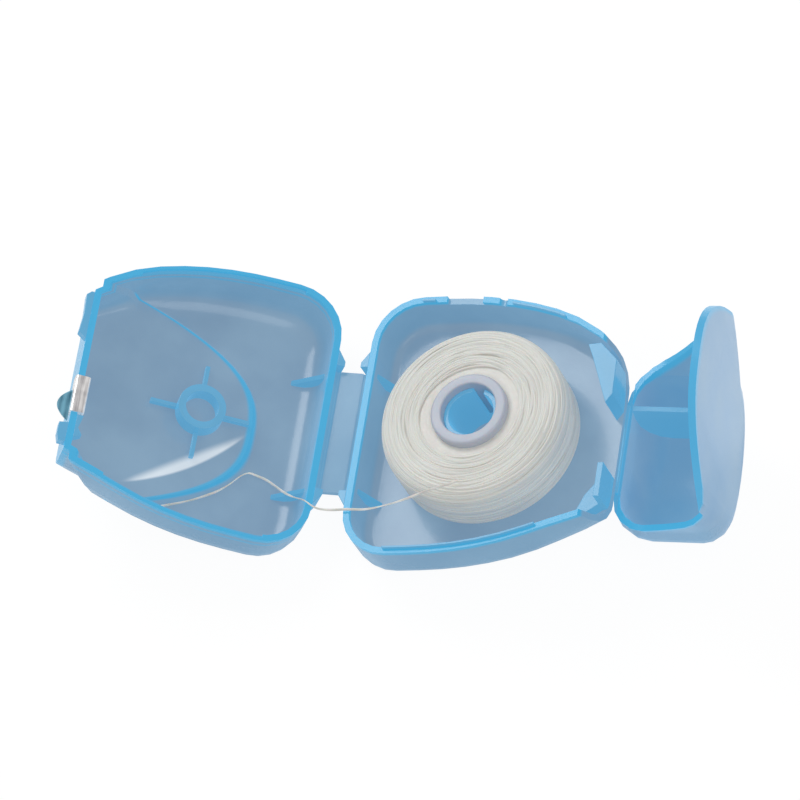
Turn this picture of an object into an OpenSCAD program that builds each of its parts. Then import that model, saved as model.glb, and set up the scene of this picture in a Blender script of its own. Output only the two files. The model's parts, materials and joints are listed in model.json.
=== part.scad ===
// Dental floss dispenser, opened flat on a table: front shell, spine strip, back shell with the
// spool, and flip cap. Every piece is drawn where it lies in the closed case and then swung open.
// Closed case: the back face is the plane z = 0, the spool turns about x = 0, y = 0, the spine is
// at low x and the cap at high x.

/* [Case] */
// Width of the closed case at its widest
case_w = 52; // [50:0.5:58]
// Height of the back shell, from its outer face to the parting plane
back_h = 9.3; // [9.2:0.1:10.4]
// Height of the front shell, from the parting plane to its outer face
front_h = 11.3; // [11.2:0.1:12.6]
// Distance from the spool axis to the outer face of the hinge end
hinge_end = 22.8; // [22.4:0.1:25]
// Corner radius of the case at the hinge end
corner_r = 9; // [7:0.5:11]
// Distance from the spool axis to the widest place, towards the spine
widest_back = 11; // [8:0.5:13]
// Distance from the spool axis to the cap's hinge
cap_hinge_x = 25; // [24.4:0.2:28]
// Half width of the case at the cap's hinge
neck_half_w = 16.3; // [15.5:0.1:19]
// Sideways offset of the case's middle line at the cap
neck_offset = -1.8; // [-2.4:0.1:0]
// How fast the sides draw in towards the cap
side_power = 2.3; // [1.8:0.1:3]
// Wall thickness of the shells and the cap
wall = 1.2; // [1:0.1:1.4]
// Rounding of the back face's edge
back_edge_r = 3; // [2.4:0.1:3.6]
// Rounding of the front face's edge
front_edge_r = 5.4; // [4:0.1:5.8]
// Rounding of the back face's edge round the cap
nose_back_r = 7; // [5:0.1:7.4]
// Rounding of the front face's edge round the cap
nose_front_r = 4.5; // [4:0.1:5.8]
// Gap between the rims of the closed shells
part_gap = 0.16; // [0.1:0.02:0.3]

/* [Rim] */
// Height of the tongue on the back shell's rim
tongue_h = 0.7; // [0.4:0.1:1]
// Thickness of the tongue
tongue_t = 0.45; // [0.35:0.05:0.6]
// Clearance round the tongue
tongue_gap = 0.15; // [0.1:0.05:0.25]
// Length of the straight-ended notch in the rim
notch_long = 7; // [4:0.5:9]
// Length of the small notch beside it
notch_short = 1.6; // [1:0.2:3]
// Depth of both notches
notch_depth = 0.9; // [0.5:0.1:1.5]

/* [Spine] */
// Sideways offset of the spine
spine_y = -0.6; // [-1.2:0.1:0.6]
// Distance between the two hinge lines of the spine
spine_w = 5.3; // [4.6:0.1:6]
// Length of the spine along its hinges
spine_len = 24.4; // [18:0.2:26]
// Thickness of the spine
spine_t = 1; // [0.8:0.1:1.2]
// Distance of the hinge lines from the end walls
hinge_reach = 1; // [0.9:0.05:1.4]
// Radius of the hinge films
film_r = 0.3; // [0.25:0.01:0.32]
// Gap between a film and the piece that it turns against
film_gap = 0.05; // [0.03:0.01:0.08]
// Width of the cheeks beside the spine
cheek_w = 3.2; // [2:0.2:4]

/* [Cap] */
// Length of the cap beyond its hinge
nose_len = 13.4; // [11:0.1:16]
// How square the plan of the nose is
nose_power = 2.4; // [2:0.1:4]
// How far the cap's side walls reach back at the front face
cap_side = 12.5; // [9:0.5:14]
// Curvature of the side walls' edges
cap_side_power = 1.8; // [1.2:0.1:2.4]
// Reach of the flap from the cap's hinge line towards the spine
flap_len = 35.7; // [30:0.1:37]
// Half width of the flap's curve
flap_half_w = 23.8; // [23:0.1:27]
// How square the flap's curve is
flap_power = 2.7; // [2:0.1:3.4]
// Thickness of the flap
flap_t = 1.3; // [1.1:0.1:1.5]
// Sideways offset of the flap
flap_offset = -1.4; // [-2:0.1:0]
// Slope of the side of the front shell's pan under the flap, measured across it
pan_slope = 1.2; // [0.8:0.1:1.4]
// Gap between the closed cap and the shells
cap_gap = 0.3; // [0.25:0.05:0.4]
// Length of the cap's hinge
cap_hinge_len = 17.4; // [14:0.2:18]
// Sideways place of the rib in the cap
rib_y = 6.7; // [4:0.1:9]
// Thickness of the rib in the cap
rib_t = 1; // [0.8:0.1:1.4]

/* [Spool] */
// Radius of the spool's bore
bore_r = 5.13; // [4.8:0.01:5.4]
// Clearance between the bore and the post
post_gap = 0.08; // [0.05:0.01:0.1]
// Wall of the split post
post_wall = 0.85; // [0.7:0.05:1]
// Width of the slot in the post
slot_w = 2.2; // [1.4:0.1:3]
// Direction of the slot, from the cap towards the far side
slot_angle = 80; // [60:5:110]
// Outer radius of the spool's tube
tube_r = 6.4; // [6.1:0.1:6.6]
// Radius of the spool's two collars
collar_r = 7.1; // [6.9:0.1:7.6]
// Height of the spool
spool_h = 12.6; // [11.6:0.1:12.8]
// Gap between the spool and the floor below it
spool_gap = 0.3; // [0.2:0.05:0.4]
// Height of the top collar
collar_h = 1.7; // [1.2:0.1:2.2]
// Outer radius of the floss pack without its outer turns
pack_r = 16.6; // [14:0.1:17]
// Rounding of the pack's shoulders
pack_round = 2; // [1:0.1:3]

/* [Floss] */
// Diameter of a wound turn
turn_d = 0.7; // [0.6:0.05:0.75]
// Turns in the outer layer
turns = 14; // [10:1:14]
// Gap between the outer layer and the pack
turn_gap = 0.2; // [0.15:0.05:0.3]
// Diameter of the free strand
strand_d = 0.6; // [0.4:0.1:0.8]

/* [Hub] */
// Place of the hub along the case, from the spool's axis
hub_x = -0.8; // [-1:0.1:0]
// Place of the hub across the case
hub_y = -0.3; // [-0.6:0.1:0.3]
// Radius of the boss on the front shell
boss_r = 4.4; // [3:0.1:4.8]
// Radius of the hole in the boss
boss_hole_r = 3; // [2:0.1:3.4]
// Height of the boss
boss_h = 3.3; // [2:0.1:3.4]
// Reach of the ribs from the hub's axis
hub_reach = 9.2; // [7:0.1:10]
// Height of the ribs
hub_rib_h = 1.2; // [0.6:0.1:1.3]
// Thickness of the ribs
hub_rib_t = 0.8; // [0.6:0.1:1.2]

/* [Cutter] */
// Length of the steel clip
clip_len = 7.2; // [5:0.2:8]
// Thickness of the steel
clip_t = 0.35; // [0.25:0.05:0.4]
// Depth of the clip's legs
clip_leg = 3.4; // [2:0.1:4.5]
// Place of the clip's middle across the case
clip_y = -6.5; // [-6.8:0.1:-4]
// Reach of the cutting tooth from the clip
tooth_reach = 2.4; // [1:0.1:2.6]

/* [Pose] */
// Angle of the spine above the back shell's plane
spine_open = 12.4; // [0:0.2:30]
// Angle of the front shell above the spine
front_open = 21.7; // [0:0.1:30]
// Angle that the cap is opened
cap_open = 97; // [90:1:104]

/* [Hidden] */
$fn = 64;

case_t = back_h + front_h;
half_w_max = case_w / 2;
corner_x = corner_r - hinge_end;
side_rate = (half_w_max - neck_half_w) / pow(cap_hinge_x + widest_back, side_power);
hinge_x = -hinge_end - hinge_reach;
back_hinge_z = back_h - spine_w / 2;
front_hinge_z = back_h + spine_w / 2;
cap_hinge_z = wall / 2;
recess = flap_t + cap_gap;
pan_z = case_t - recess - wall;
neck_back = 2.2;
neck_x = cap_hinge_x - neck_back;
neck_inset = wall + cap_gap;
far = 80;
eps = 0.01;

// The back shell leans on the table between its hinge end's edge and the opened cap's nose
nose_dx = nose_len - nose_back_r;
nose_dz = nose_back_r - cap_hinge_z;
nose_open_x = cap_hinge_x + nose_dx * cos(cap_open) + nose_dz * sin(cap_open);
nose_open_z = cap_hinge_z - nose_dx * sin(cap_open) + nose_dz * cos(cap_open);
lean_dx = nose_open_x + hinge_end - back_edge_r;
lean_dz = nose_open_z - back_edge_r;
lean = asin((nose_back_r - back_edge_r) / norm([lean_dx, lean_dz])) - atan2(lean_dz, lean_dx);

plastic = [0.53, 0.72, 0.86];
deep_plastic = [0.33, 0.67, 0.85];
floss_white = [0.9, 0.9, 0.86];
core_white = [0.93, 0.94, 0.97];
steel = [0.8, 0.8, 0.8];

// Half width of the case's plan at x, drawn in by d
function half_w(x, d) =
    x < corner_x
    ? half_w_max - corner_r + sqrt(max(0, pow(corner_r - d, 2) - pow(corner_x - x, 2)))
    : x <= cap_hinge_x
    ? half_w_max - d - side_rate * pow(max(0, x + widest_back), side_power)
    : (neck_half_w - d)
        * sqrt(max(0, 1 - pow((x - cap_hinge_x) / (nose_len - d), nose_power)));

arc_steps = 6;
side_steps = 9;
nose_steps = 7;
last_station = arc_steps + side_steps + nose_steps;
// Distance along the case of station i of the plan drawn in by d
function station_x(i, d) =
    i <= arc_steps
    ? corner_x - (corner_r - d) * cos(90 * i / arc_steps)
    : i <= arc_steps + side_steps
    ? corner_x + (cap_hinge_x - corner_x) * (i - arc_steps) / side_steps
    : cap_hinge_x + (nose_len - d) * sin(90 * (i - arc_steps - side_steps) / nose_steps);

// Share that grows from 0 at x0 to 1 at the cap's hinge
function share(x, x0, power) = pow(max(0, min(1, (x - x0) / (cap_hinge_x - x0))), power);

offset_x = 14;
function middle_y(x) = neck_offset * share(x, offset_x, 1.5);

rounding_x = 8;
function edge_radius(x, front) =
    front
    ? front_edge_r + (nose_front_r - front_edge_r) * share(x, rounding_x, 2)
    : back_edge_r + (nose_back_r - back_edge_r) * share(x, rounding_x, 2);

round_steps = 4;
least_r = 0.3;
// Insets and heights round an edge of outer radius r, both drawn in by d, from the face to the wall
function edge_arc(r, d) =
    let (e = max(least_r, r - d))
    [for (k = [0 : round_steps])
        let (a = 90 * k / round_steps) [d + e * (1 - sin(a)), d + e * (1 - cos(a))]];

// Ring k of one face's edge of the closed body drawn in by d: far side towards the nose, then
// back along the near side
function body_ring(k, front, d) =
    [for (j = [0 : 2 * last_station])
        let (i = min(j, 2 * last_station - j),
            e = edge_arc(edge_radius(station_x(i, 0), front), d)[k],
            x = station_x(i, e[0]),
            w = i == last_station ? 0 : half_w(x, e[0]))
        [x, middle_y(x) + (j < last_station ? w : -w), front ? case_t - e[1] : e[1]]];

// Solid between rings of equal length, each a list of points, with its ends' faces as lists of
// a ring's point numbers
module loft(rings, ends = undef) {
    n = len(rings[0]);
    m = len(rings);
    lids = is_undef(ends) ? [[for (i = [0 : n - 1]) i]] : ends;
    points = [for (ring = rings) each ring];
    sides = [for (k = [0 : m - 2], i = [0 : n - 1])
        let (p = k * n + i, q = k * n + (i + 1) % n) each [[p, q, q + n], [p, q + n, p + n]]];
    polyhedron(points, concat(
        [for (f = lids) [for (i = [len(f) - 1 : -1 : 0]) f[i]]],
        sides,
        [for (f = lids) [for (i = f) (m - 1) * n + i]]), convexity = 6);
}

// Faces of the closed body's flat ends, as strips across the case
body_ends = [for (j = [0 : last_station - 1])
    j < last_station - 1
    ? [j, j + 1, 2 * last_station - j - 1, 2 * last_station - j]
    : [j, j + 1, j + 2]];

// Whole closed case, drawn in by d
module body(d) {
    loft(concat(
        [for (k = [0 : round_steps]) body_ring(k, false, d)],
        [for (k = [round_steps : -1 : 0]) body_ring(k, true, d)]), body_ends);
}

// Slab of the closed case between two heights
module slab(z0, z1) {
    translate([-far, -far, z0])
        cube([2 * far, 2 * far, z1 - z0]);
}

// Where the cap's side walls begin at height z
function cap_edge_x(z) =
    cap_hinge_x - cap_side * pow(max(0, min(1, z / case_t)), cap_side_power);

zone_steps = 12;
// Everything on the cap's side of its side walls' edges, moved by shift
module cap_zone(shift) {
    rotate([90, 0, 0])
        linear_extrude(2 * far, center = true)
            polygon(concat(
                [[far, -far], [cap_edge_x(0) + shift, -far]],
                [for (i = [0 : zone_steps])
                    [cap_edge_x(case_t * i / zone_steps) + shift, case_t * i / zone_steps]],
                [[cap_edge_x(case_t) + shift, far], [far, far]]));
}

flap_steps = 18;
// Plan of the flap, grown by g
function flap_plan(g) = concat(
    [[far, -flap_half_w - g + flap_offset]],
    [for (i = [-flap_steps : flap_steps])
        let (t = sin(90 * i / flap_steps))
        [cap_hinge_x - (flap_len + g) * (1 - pow(abs(t), flap_power)),
            flap_offset + (flap_half_w + g) * t]],
    [[far, flap_half_w + g + flap_offset]]);

module flap_prism(g, z0, z1) {
    translate([0, 0, z0])
        linear_extrude(z1 - z0)
            polygon(flap_plan(g));
}

pan_grow = 0.1;
// Pan that carries the flap, with a sloped side down to the front shell's floor
module pan() {
    loft([for (s = [[pan_grow, pan_z], [pan_grow + pan_slope, case_t - wall],
            [pan_grow + pan_slope, far]])
        [for (p = flap_plan(s[0])) [p[0], p[1], s[1]]]]);
}

module turn_about(x, z, a) {
    translate([x, 0, z])
        rotate([0, a, 0])
            translate([-x, 0, -z])
                children();
}

module back_pose() {
    rotate([0, -lean, 0])
        children();
}

module spine_pose() {
    back_pose()
        turn_about(hinge_x, back_hinge_z, spine_open - 90)
            children();
}

module front_pose() {
    spine_pose()
        turn_about(hinge_x, front_hinge_z, front_open - 90)
            children();
}

module cap_pose() {
    back_pose()
        turn_about(cap_hinge_x, cap_hinge_z, cap_open)
            children();
}

module box(x0, x1, y0, y1, z0, z1) {
    translate([x0, y0, z0])
        cube([x1 - x0, y1 - y0, z1 - z0]);
}

// Rod across the case, from y0 to y1
module cross_rod(x, z, r, y0, y1) {
    translate([x, y0, z])
        rotate([-90, 0, 0])
            cylinder(r = r, h = y1 - y0);
}

spine_y0 = spine_y - spine_len / 2;
spine_y1 = spine_y + spine_len / 2;
ledge_t = 0.8;
// Ledge that carries a spine hinge on an end wall, at height z
module hinge_ledge(z) {
    box(hinge_x + film_r + film_gap, -hinge_end, spine_y0, spine_y1,
        z - ledge_t / 2, z + ledge_t / 2);
}

cap_film_y0 = neck_offset - cap_hinge_len / 2;
cap_film_y1 = neck_offset + cap_hinge_len / 2;
groove_w = 0.9;
tab_half_t = 0.2;
rim_back_z = back_h - part_gap / 2;
rim_front_z = back_h + part_gap / 2;
notch_x = -9.5;
notch_between = 4;
round_notch_x = notch_x + notch_long + notch_between;

module back_shell() {
    color(plastic)
    back_pose() {
        difference() {
            intersection() {
                difference() {
                    body(0);
                    body(wall);
                }
                slab(-1, rim_back_z);
            }
            cap_zone(-film_r - film_gap);
            box(cap_hinge_x - film_r - film_gap - groove_w, far, -far, far, -1, wall / 4);
            box(notch_x, notch_x + notch_long, 0, far, rim_back_z - notch_depth, far);
            translate([round_notch_x, far / 2, rim_back_z])
                rotate([90, 0, 0])
                    cylinder(r = notch_short / 2, h = far / 2);
        }
        hinge_ledge(back_hinge_z);
    }
}

tongue_x0 = -14;
tongue_x1 = 14;
tongue_clear = 2;
module rim_tongue() {
    color(deep_plastic)
    back_pose()
        intersection() {
            difference() {
                body(wall - tongue_t);
                body(wall);
            }
            union() {
                box(tongue_x0, notch_x - tongue_clear, 0, far, rim_back_z, rim_back_z + tongue_h);
                box(round_notch_x + tongue_clear, tongue_x1, 0, far,
                    rim_back_z, rim_back_z + tongue_h);
                box(tongue_x0, tongue_x1, -far, 0, rim_back_z, rim_back_z + tongue_h);
            }
        }
}

cheek_reach = hinge_reach + spine_t / 2;
cheek_gap = 0.3;
cheek_edge = 1;
gusset_foot = 0.8;
gusset_t = 1;
gusset_h = 6;
// Cheek beside the spine outside the end wall, on one side
module cheek(side, z0, z1) {
    y0 = spine_len / 2 + cheek_gap;
    translate([-hinge_end, spine_y, z0])
        mirror([0, side < 0 ? 1 : 0, 0])
            linear_extrude(z1 - z0)
                polygon([[0, y0], [-cheek_reach, y0], [-cheek_reach, y0 + cheek_edge],
                    [0, y0 + cheek_w]]);
}

// Gussets between the end wall and the floor, whose outer edge is rounded by r
module gussets(r) {
    for (side = [-1, 1])
        translate([-hinge_end, spine_y + side * (spine_len - gusset_t) / 2 + gusset_t / 2, 0])
            rotate([90, 0, 0])
                linear_extrude(gusset_t)
                    polygon(concat([[r + gusset_foot, wall]], edge_arc(r, wall),
                        [[wall, wall + gusset_h]]));
}

module back_cheeks() {
    color(deep_plastic)
    back_pose() {
        for (side = [-1, 1])
            cheek(side, back_edge_r, rim_back_z);
        gussets(back_edge_r);
    }
}

post_r = bore_r - post_gap;
post_h = 11.2;
slot_foot = 2;
module spool_post() {
    color(deep_plastic)
    back_pose()
        difference() {
            translate([0, 0, wall])
                cylinder(r = post_r, h = post_h);
            translate([0, 0, wall - 1])
                cylinder(r = post_r - post_wall, h = post_h + 2);
            rotate([0, 0, slot_angle])
                translate([0, -slot_w / 2, wall + slot_foot])
                    cube([far, slot_w, post_h]);
        }
}

guide_h = 7;
// Plan of the guide, measured from the neck's end and from its far side
guide_plan = [[-4.2, -0.7], [-3.1, -3.2], [0.6, -12.7], [1.7, -11], [1.6, -4], [-1.8, -0.5]];
module floss_guide() {
    color(deep_plastic)
    back_pose()
        intersection() {
            body(wall);
            translate([neck_x, neck_half_w, 0])
                linear_extrude(wall + guide_h)
                    polygon(guide_plan);
        }
}

latch_h = 6.4;
// Plans of the latch's strip and of the low wedge beside it, measured from the neck's end and
// from its near side
latch_strip = [[0.6, 8.3], [1.7, 8.3], [1.7, 1.6], [0.6, 1.6]];
latch_wedge = [[0.6, 7.4], [0.6, 1.6], [-4.6, -2.2], [-2.2, 3.6]];
module latch_block() {
    color(deep_plastic)
    back_pose()
        intersection() {
            body(wall);
            translate([neck_x, -neck_half_w, 0]) {
                linear_extrude(wall + latch_h)
                    polygon(latch_strip);
                linear_extrude(wall + latch_h / 2)
                    polygon(latch_wedge);
            }
        }
}

plate_root = 0.6;
module spine_plate() {
    color(plastic)
    spine_pose()
        difference() {
            union() {
                box(hinge_x - spine_t / 2, hinge_x + spine_t / 2, spine_y0, spine_y1,
                    back_hinge_z + plate_root, front_hinge_z - plate_root);
                box(hinge_x - tab_half_t, hinge_x + tab_half_t, spine_y0, spine_y1,
                    back_hinge_z, front_hinge_z);
            }
            cross_rod(hinge_x, back_hinge_z, film_r, -far, far);
            cross_rod(hinge_x, front_hinge_z, film_r, -far, far);
        }
}

module back_hinge_film() {
    color(plastic)
    spine_pose()
        cross_rod(hinge_x, back_hinge_z, film_r, spine_y0, spine_y1);
}

module front_hinge_film() {
    color(plastic)
    spine_pose()
        cross_rod(hinge_x, front_hinge_z, film_r, spine_y0, spine_y1);
}

// Walls, floor and pan of the front shell, up to the cap's edge
module front_outer() {
    difference() {
        body(0);
        difference() {
            body(wall);
            pan();
        }
        cap_zone(-cap_gap);
    }
}

// Shoulder and neck of the front shell, inside the closed cap
module front_neck() {
    difference() {
        union() {
            intersection() {
                body(eps);
                difference() {
                    cap_zone(-cap_gap - wall);
                    cap_zone(-cap_gap);
                }
            }
            intersection() {
                body(neck_inset);
                cap_zone(-cap_gap - wall / 2);
            }
        }
        difference() {
            body(neck_inset + wall);
            slab(pan_z, far);
            box(neck_x - wall, neck_x, -far, far, -far, far);
        }
        slab(pan_z + wall, far);
    }
}

nub_r = 0.8;
nub_h = 0.5;
nub_gap = 0.15;
// Places of the two nubs, measured from the flap's tip
nubs = [[4.6, -0.6], [4.2, -4.1]];
flap_tip = [cap_hinge_x - flap_len, flap_offset];
tongue_end_gap = 1;
module front_shell() {
    color(plastic)
    front_pose() {
        difference() {
            intersection() {
                union() {
                    front_outer();
                    front_neck();
                }
                slab(rim_front_z, case_t + 1);
            }
            flap_prism(cap_gap, case_t - recess, far);
            box(neck_x, far, -far, far, -far, far);
            // Rebate for the tongue
            intersection() {
                body(wall - tongue_t - tongue_gap);
                box(tongue_x0 - tongue_end_gap, tongue_x1 + tongue_end_gap, -far, far, -far,
                    rim_back_z + tongue_h + tongue_gap);
            }
            for (p = nubs)
                translate([flap_tip[0] + p[0], flap_tip[1] + p[1], case_t - recess - nub_h])
                    cylinder(r = nub_r + nub_gap, h = far);
        }
        hinge_ledge(front_hinge_z);
    }
}

module front_cheeks() {
    color(deep_plastic)
    front_pose() {
        for (side = [-1, 1])
            cheek(side, rim_front_z, case_t - front_edge_r);
        translate([0, 0, case_t])
            mirror([0, 0, 1])
                gussets(front_edge_r);
    }
}

module hub_boss() {
    color(deep_plastic)
    front_pose()
        translate([hub_x, hub_y, pan_z - boss_h])
            difference() {
                cylinder(r = boss_r, h = boss_h);
                translate([0, 0, -1])
                    cylinder(r = boss_hole_r, h = boss_h + 2);
            }
}

module hub_ribs() {
    color(deep_plastic)
    front_pose()
        translate([hub_x, hub_y, pan_z - hub_rib_h])
            difference() {
                for (a = [0, 90])
                    rotate([0, 0, a])
                        box(-hub_reach, hub_reach, -hub_rib_t / 2, hub_rib_t / 2, 0, hub_rib_h);
                translate([0, 0, -1])
                    cylinder(r = boss_r, h = hub_rib_h + 2);
            }
}

tab_h = 1.8;
// Plan of the tab, measured from the neck's end
tab_plan = [[0, 4.8], [1.5, 5.9], [1.2, 9.5], [1.4, 13.4], [0.6, 14.2], [0, 14.2]];
module neck_tab() {
    color(deep_plastic)
    front_pose()
        translate([neck_x, 0, rim_front_z])
            linear_extrude(tab_h)
                polygon(tab_plan);
}

// Plans of the seat's blocks outside and inside the neck's end wall
seat_outer = [[0, -12.3], [1.7, -12.6], [1.7, -14.8], [1.3, -16.2], [0, -16.2]];
seat_inner = [[0, -10.4], [-1.2, -10.4], [-0.6, -12.9], [-1.5, -14.2], [0, -15]];
module cutter_seat() {
    color(deep_plastic)
    front_pose()
        translate([neck_x, 0, rim_front_z]) {
            linear_extrude(tab_h)
                polygon(seat_outer);
            translate([-wall, 0, 0])
                linear_extrude(tab_h)
                    polygon(seat_inner);
        }
}

clip_gap = 0.03;
clip_outer_leg = 2.2;
module cutter_clip() {
    x0 = neck_x - wall - clip_gap;
    x1 = neck_x + clip_gap;
    z0 = rim_front_z - clip_gap;
    color(steel)
    front_pose() {
        y0 = clip_y - clip_len / 2;
        y1 = clip_y + clip_len / 2;
        box(x0 - clip_t, x0, y0, y1, z0 - clip_t, z0 + clip_leg);
        box(x0, x1, y0, y1, z0 - clip_t, z0);
        box(x1, x1 + clip_t, y0, y1, z0 - clip_t, z0 + clip_outer_leg);
    }
}

tooth_len = 6.1;
tooth_shift = -2.2;
tooth_rise = 0.5;
tooth_steps = 8;
module cutter_tooth() {
    color(steel)
    front_pose()
        translate([neck_x + clip_gap + clip_t, clip_y + tooth_shift, rim_front_z + tooth_rise])
            linear_extrude(clip_t)
                polygon([for (i = [0 : tooth_steps])
                    let (t = i / tooth_steps) [tooth_reach * sin(180 * t), tooth_len * (t - 0.5)]]);
}

// The cap's walls start this far past its hinge line
cap_start = 0.05;
module cap_shell() {
    color(plastic)
    cap_pose()
        difference() {
            intersection() {
                body(0);
                union() {
                    difference() {
                        cap_zone(cap_start);
                        body(wall);
                    }
                    flap_prism(0, case_t - flap_t, case_t + 1);
                }
            }
            difference() {
                box(-far, cap_hinge_x + plate_root + film_r, -far, far, -1, wall + eps);
                box(cap_hinge_x - 1, far, cap_film_y0, cap_film_y1,
                    cap_hinge_z - tab_half_t, cap_hinge_z + tab_half_t);
            }
            cross_rod(cap_hinge_x, cap_hinge_z, film_r, -far, far);
            box(-far, cap_hinge_x, -far, far, -1, wall + eps);
        }
}

module cap_rib() {
    color(deep_plastic)
    cap_pose()
        intersection() {
            body(wall);
            box(cap_hinge_x + 0.5, far, rib_y - rib_t / 2, rib_y + rib_t / 2,
                0, case_t - flap_t);
        }
}

module cap_nubs() {
    color(deep_plastic)
    cap_pose()
        for (p = nubs)
            translate([flap_tip[0] + p[0], flap_tip[1] + p[1], case_t - flap_t - nub_h])
                cylinder(r = nub_r, h = nub_h);
}

module cap_hinge_film() {
    color(plastic)
    cap_pose()
        cross_rod(cap_hinge_x, cap_hinge_z, film_r, cap_film_y0, cap_film_y1);
}

spool_z0 = wall + spool_gap;
spool_z1 = spool_z0 + spool_h;
flange_h = 0.8;
pack_gap = 0.05;
pack_z0 = spool_z0 + flange_h + pack_gap;
pack_z1 = spool_z1 - collar_h - pack_gap;
collar_round = 0.5;

module spool_core() {
    color(core_white)
    back_pose()
        rotate_extrude()
            polygon([[bore_r, spool_z0], [collar_r, spool_z0], [collar_r, spool_z0 + flange_h],
                [tube_r, spool_z0 + flange_h], [tube_r, spool_z1 - collar_h],
                [collar_r, spool_z1 - collar_h], [collar_r, spool_z1 - collar_round],
                [collar_r - collar_round, spool_z1], [bore_r + 0.3, spool_z1],
                [bore_r, spool_z1 - 0.3]]);
}

shoulder_steps = 5;
// Half section of the pack, rounded at its outer edges
module pack_section(r, z0, z1, c) {
    polygon(concat(
        [[tube_r + pack_gap, z0]],
        [for (i = [0 : shoulder_steps])
            let (a = 90 * i / shoulder_steps) [r - c + c * sin(a), z0 + c - c * cos(a)]],
        [for (i = [0 : shoulder_steps])
            let (a = 90 * i / shoulder_steps) [r - c + c * cos(a), z1 - c + c * sin(a)]],
        [[tube_r + pack_gap, z1]]));
}

module floss_pack() {
    color(floss_white)
    back_pose()
        rotate_extrude()
            pack_section(pack_r, pack_z0, pack_z1, pack_round);
}

// The outer turns follow the pack's side, its upper shoulder and its top
turn_off = turn_gap + turn_d / 2;
turn_z0 = pack_z0 + 1;
turn_side = pack_z1 - pack_round - turn_z0;
turn_arc = (pack_round + turn_off) * PI / 2;
turn_inner = collar_r + 1.3;
turn_top = pack_r - pack_round - turn_inner;
turn_path = turn_side + turn_arc + turn_top;
rings_per_turn = 24;
turn_rings = turns * rings_per_turn;

// Radius, height and outward angle of the layer at distance s along its half section
function turn_at(s) =
    s < turn_side
    ? [pack_r + turn_off, turn_z0 + s, 0]
    : s < turn_side + turn_arc
    ? let (a = 90 * (s - turn_side) / turn_arc)
        [pack_r - pack_round + (pack_round + turn_off) * cos(a),
            pack_z1 - pack_round + (pack_round + turn_off) * sin(a), a]
    : [pack_r - pack_round - (s - turn_side - turn_arc), pack_z1 + turn_off, 90];

function turn_centre(i) =
    let (q = turn_at(turn_path * i / turn_rings), a = 360 * i / rings_per_turn)
    [q[0] * cos(a), q[0] * sin(a), q[1]];

// One ring of the tube: centre moved by along its run, six points round it
function turn_ring(i, along) =
    let (q = turn_at(turn_path * i / turn_rings), a = 360 * i / rings_per_turn,
        c = turn_centre(i) + along * [-sin(a), cos(a), 0],
        out = [cos(q[2]) * cos(a), cos(q[2]) * sin(a), sin(q[2])],
        up = [-sin(q[2]) * cos(a), -sin(q[2]) * sin(a), cos(q[2])])
    [for (k = [0 : 5]) c + turn_d / 2 * (cos(60 * k) * out + sin(60 * k) * up)];

turn_tube = concat(
    [turn_ring(0, -turn_d)],
    [for (i = [0 : turn_rings]) turn_ring(i, 0)],
    [turn_ring(turn_rings, turn_d)]);

turn_least_gap = min([for (i = [0 : turn_rings - rings_per_turn - 6])
    min([for (j = [i + rings_per_turn - 6 : i + rings_per_turn + 6])
        norm(turn_centre(i) - turn_centre(j))])]) - turn_d;
echo(least_gap_between_turns = turn_least_gap);

module floss_turns() {
    color(floss_white)
    back_pose()
        loft(turn_tube);
}

// Route of the free strand from the pack, over both rims, to its end on the front shell's floor,
// before the case leans
strand_route = [[-1.5, -15, 13.8], [-5, -16, 13.8], [-9, -17, 12.9], [-13.5, -17.6, 11.6],
    [-18, -17.7, 10.3], [-22, -17.4, 9.9], [-25, -17.5, 10], [-27.2, -17.6, 11],
    [-29.2, -16.6, 12], [-30.8, -15.6, 10.9], [-32.8, -14.3, 9.1], [-35.6, -12.4, 7.2],
    [-38, -10.6, 6.3], [-40, -9.4, 6.8], [-41.6, -9, 7.8], [-42.8, -8.9, 8.6],
    [-43.9, -9.9, 9.4], [-45.4, -12.1, 10.4], [-47.1, -14.1, 11.6], [-49.1, -15.8, 12.9],
    [-51.4, -17.5, 14.5], [-54.2, -19.2, 16.5], [-56.4, -20.4, 18.1]];
strand_spans = len(strand_route) - 1;
strand_rings = 72;

// Point of the smooth curve through the route at parameter u, counted in spans
function strand_at(u) =
    let (i = min(floor(u), strand_spans - 1), f = u - i,
        p0 = strand_route[max(i - 1, 0)], p1 = strand_route[i],
        p2 = strand_route[i + 1], p3 = strand_route[min(i + 2, strand_spans)])
    0.5 * (2 * p1 + f * (p2 - p0) + f * f * (2 * p0 - 5 * p1 + 4 * p2 - p3)
        + f * f * f * (3 * p1 - p0 - 3 * p2 + p3));

function unit(v) = v / norm(v);

function strand_ring(k) =
    let (u = strand_spans * k / strand_rings,
        t = unit(strand_at(min(u + 0.05, strand_spans)) - strand_at(max(u - 0.05, 0))),
        side = unit(cross(t, [0, 0, 1])), up = cross(side, t))
    [for (j = [0 : 7]) strand_at(u) + strand_d / 2 * (cos(45 * j) * side - sin(45 * j) * up)];

module floss_strand() {
    color(floss_white)
    back_pose()
        loft([for (k = [0 : strand_rings]) strand_ring(k)]);
}

back_shell();
rim_tongue();
back_cheeks();
spool_post();
floss_guide();
latch_block();
spine_plate();
back_hinge_film();
front_hinge_film();
front_shell();
front_cheeks();
hub_boss();
hub_ribs();
neck_tab();
cutter_seat();
cutter_clip();
cutter_tooth();
cap_shell();
cap_rib();
cap_nubs();
cap_hinge_film();
spool_core();
floss_pack();
floss_turns();
floss_strand();
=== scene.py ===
"""Dental floss dispenser, opened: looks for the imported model, in its own frame, in metres."""
import json
import math

import bmesh
import bpy
import numpy as np
from mathutils import Matrix, Vector


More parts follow.
